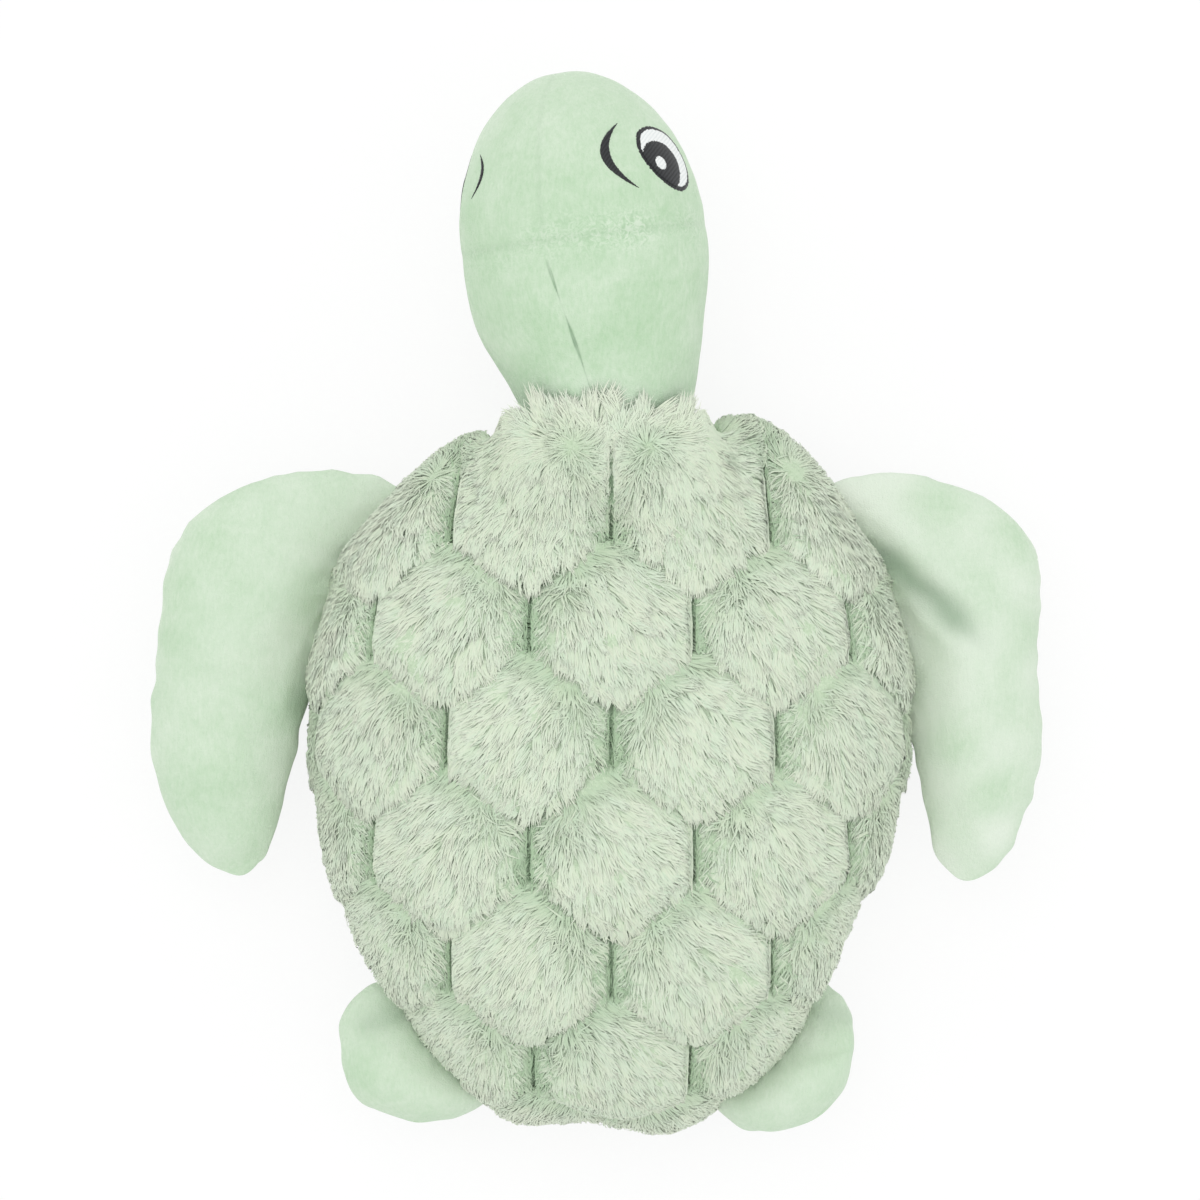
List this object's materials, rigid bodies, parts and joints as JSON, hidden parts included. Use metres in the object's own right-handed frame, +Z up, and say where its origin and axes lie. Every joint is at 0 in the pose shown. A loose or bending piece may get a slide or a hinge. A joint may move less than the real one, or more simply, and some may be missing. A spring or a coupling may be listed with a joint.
{
  "type": "turtle dog toy",
  "caption": "Stuffed turtle toy for dogs: long-pile shell in overlapping scutes, short-pile head and flippers that bend, and a squeaker in the belly.",
  "frame": {"origin": "middle of the flat under the belly, which the toy lies on", "axes": "+Z up through the back, +Y towards the nose, +X to the toy's right"},
  "size_m": [0.3373, 0.3982, 0.1136],
  "materials": {
    "long_pile": "long soft pile in overlapping tufts",
    "short_pile": "short dense velvety pile",
    "fibre": "loose fibre",
    "black_thread": "satin stitch",
    "white_thread": "satin stitch",
    "squeaker_plastic": "blow-moulded"
  },
  "bodies": {
    "body": {"shell_cover": "long_pile", "belly_cover": "short_pile", "body_filling": "fibre", "squeaker_case": "squeaker_plastic", "squeaker_reed": "squeaker_plastic"},
    "neck": {"nape_left": "short_pile", "nape_right": "short_pile", "throat": "short_pile", "neck_filling": "fibre"},
    "head": {"crown_left": "short_pile", "crown_right": "short_pile", "chin": "short_pile", "head_filling": "fibre", "eye_black_left": "black_thread", "eye_white_left": "white_thread", "eye_glint_left": "white_thread", "brow_left": "black_thread", "eye_black_right": "black_thread", "eye_white_right": "white_thread", "eye_glint_right": "white_thread", "brow_right": "black_thread"},
    "front_left_flipper": {"front_left_flipper_top": "short_pile", "front_left_flipper_bottom": "short_pile", "front_left_flipper_filling": "fibre"},
    "front_right_flipper": {"front_right_flipper_top": "short_pile", "front_right_flipper_bottom": "short_pile", "front_right_flipper_filling": "fibre"},
    "rear_left_flipper": {"rear_left_flipper_top": "short_pile", "rear_left_flipper_bottom": "short_pile", "rear_left_flipper_filling": "fibre"},
    "rear_right_flipper": {"rear_right_flipper_top": "short_pile", "rear_right_flipper_bottom": "short_pile", "rear_right_flipper_filling": "fibre"}
  },
  "joints": [
    {"name": "neck_bend", "type": "hinge", "parent": "body", "child": "neck", "pos_m": [0, 0.116, 0.052], "axis": [1, 0, 0], "range_deg": [-20, 30], "stiffness_Nm_per_rad": 2},
    {"name": "head_turn", "type": "hinge", "parent": "neck", "child": "head", "pos_m": [-0.01045, 0.19874, 0.052], "axis": [-0.1253, 0.9921, 0], "range_deg": [-20, 45], "stiffness_Nm_per_rad": 1},
    {"name": "front_left_flipper_flap", "type": "hinge", "parent": "body", "child": "front_left_flipper", "pos_m": [-0.10445, 0.07959, 0.034], "axis": [0.4386, 0.8987, 0], "range_deg": [-40, 40], "stiffness_Nm_per_rad": 0.6},
    {"name": "front_right_flipper_flap", "type": "hinge", "parent": "body", "child": "front_right_flipper", "pos_m": [0.10445, 0.07959, 0.034], "axis": [0.4386, -0.8987, 0], "range_deg": [-40, 40], "stiffness_Nm_per_rad": 0.6},
    {"name": "rear_left_flipper_flap", "type": "hinge", "parent": "body", "child": "rear_left_flipper", "pos_m": [-0.06835, -0.10393, 0.034], "axis": [-0.6486, 0.7611, 0], "range_deg": [-35, 35], "stiffness_Nm_per_rad": 0.4},
    {"name": "rear_right_flipper_flap", "type": "hinge", "parent": "body", "child": "rear_right_flipper", "pos_m": [0.06835, -0.10393, 0.034], "axis": [-0.6486, -0.7611, 0], "range_deg": [-35, 35], "stiffness_Nm_per_rad": 0.4}
  ]
}
